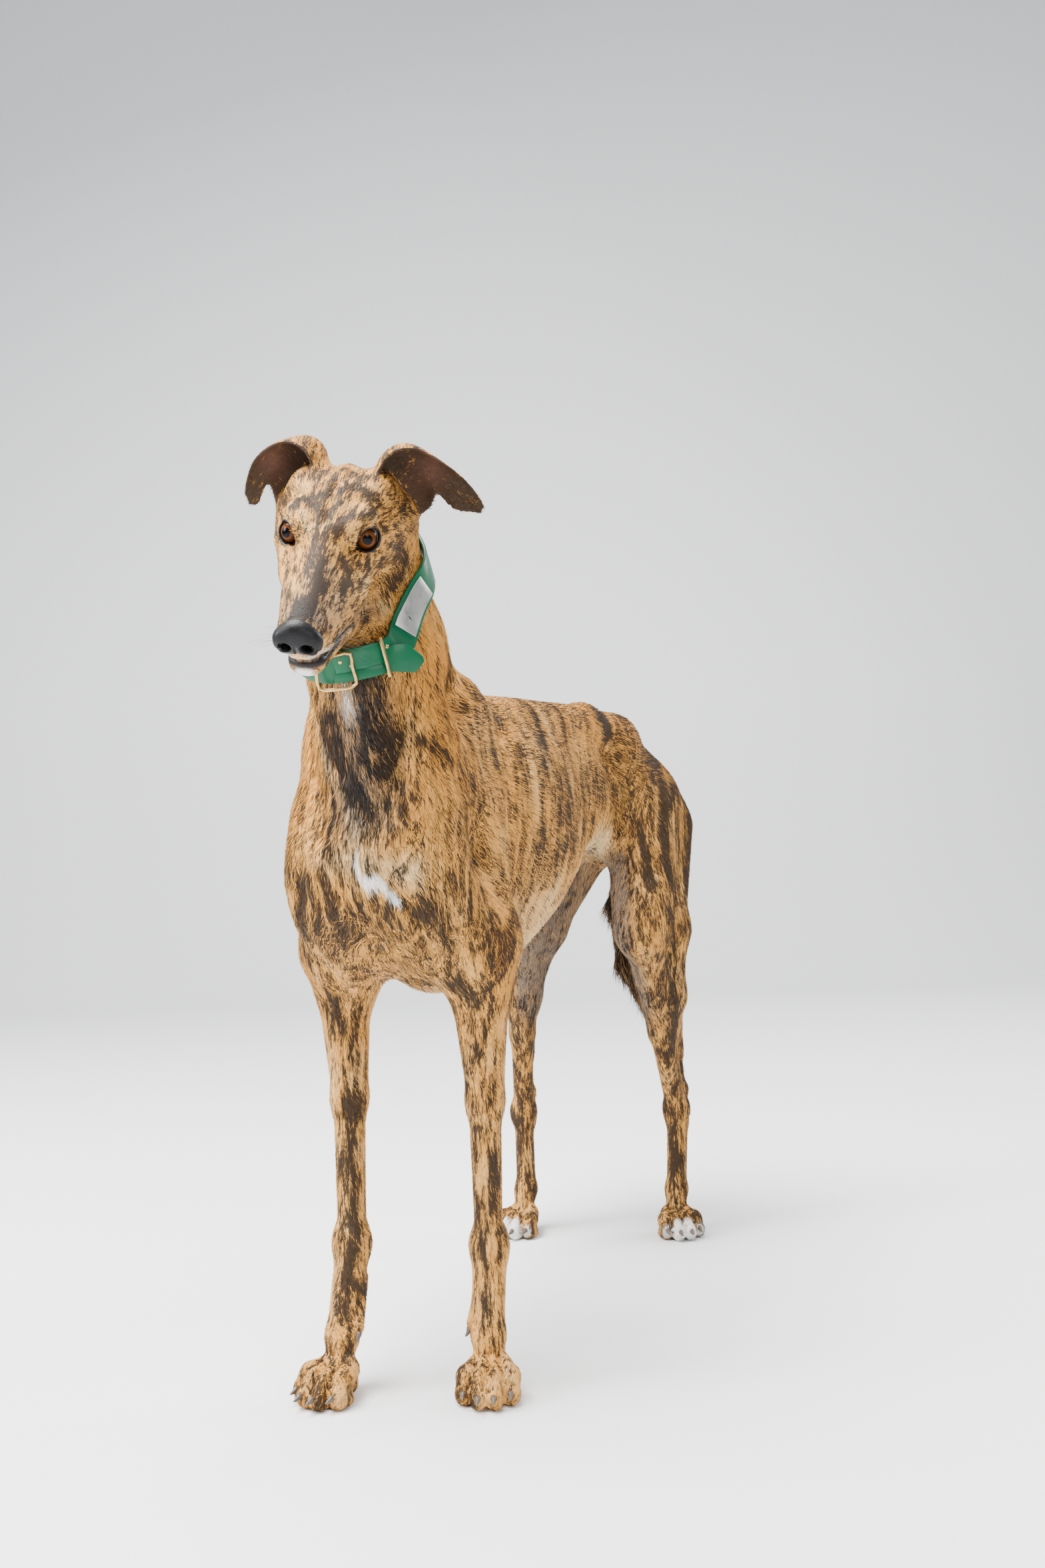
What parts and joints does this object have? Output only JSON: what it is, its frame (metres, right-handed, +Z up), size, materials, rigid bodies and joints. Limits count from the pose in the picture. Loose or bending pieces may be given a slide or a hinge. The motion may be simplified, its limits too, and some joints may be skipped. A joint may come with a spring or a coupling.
{
  "type": "greyhound",
  "caption": "Greyhound standing at life size with its head turned to its left, ears folded out, and a wide buckled leather collar.",
  "frame": {"origin": "centre of the bounding box at the ground under the paws", "axes": "+X to the dog's left, +Y towards its tail end, +Z up"},
  "size_m": [0.288, 0.919, 0.9015],
  "materials": {
    "coat": "short brindled fur, fawn with dark stripes",
    "coat_dark": "short dark brindled fur, pink-brown skin inside",
    "nose_leather": "moist pebbled black",
    "eye": "wet, amber iris round a dark pupil",
    "claw": "horn",
    "collar_leather": "glossy green",
    "brass": "polished",
    "plate": "brushed, blank"
  },
  "bodies": {
    "root": {"chest": "coat", "collar_band": "collar_leather", "collar_buckle": "brass", "collar_end": "collar_leather", "collar_keeper": "brass", "collar_plate": "plate", "croup": "coat", "dewclaw_left": "claw", "dewclaw_right": "claw", "ear_left": "coat_dark", "ear_right": "coat_dark", "eye_left": "eye", "eye_right": "eye", "fore_claw_left_1": "claw", "fore_claw_left_2": "claw", "fore_claw_left_3": "claw", "fore_claw_left_4": "claw", "fore_claw_right_1": "claw", "fore_claw_right_2": "claw", "fore_claw_right_3": "claw", "fore_claw_right_4": "claw", "fore_paw_left": "coat", "fore_paw_right": "coat", "forearm_left": "coat", "forearm_right": "coat", "head": "coat", "hind_claw_left_1": "claw", "hind_claw_left_2": "claw", "hind_claw_left_3": "claw", "hind_claw_left_4": "claw", "hind_claw_right_1": "claw", "hind_claw_right_2": "claw", "hind_claw_right_3": "claw", "hind_claw_right_4": "claw", "hind_paw_left": "coat", "hind_paw_right": "coat", "hock_left": "coat", "hock_right": "coat", "loin": "coat", "lower_jaw": "coat", "neck": "coat", "nose": "nose_leather", "shank_left": "coat", "shank_right": "coat", "tail": "coat", "thigh_left": "coat", "thigh_right": "coat", "upper_arm_left": "coat", "upper_arm_right": "coat", "wrist_left": "coat", "wrist_right": "coat"}
  },
  "joints": []
}
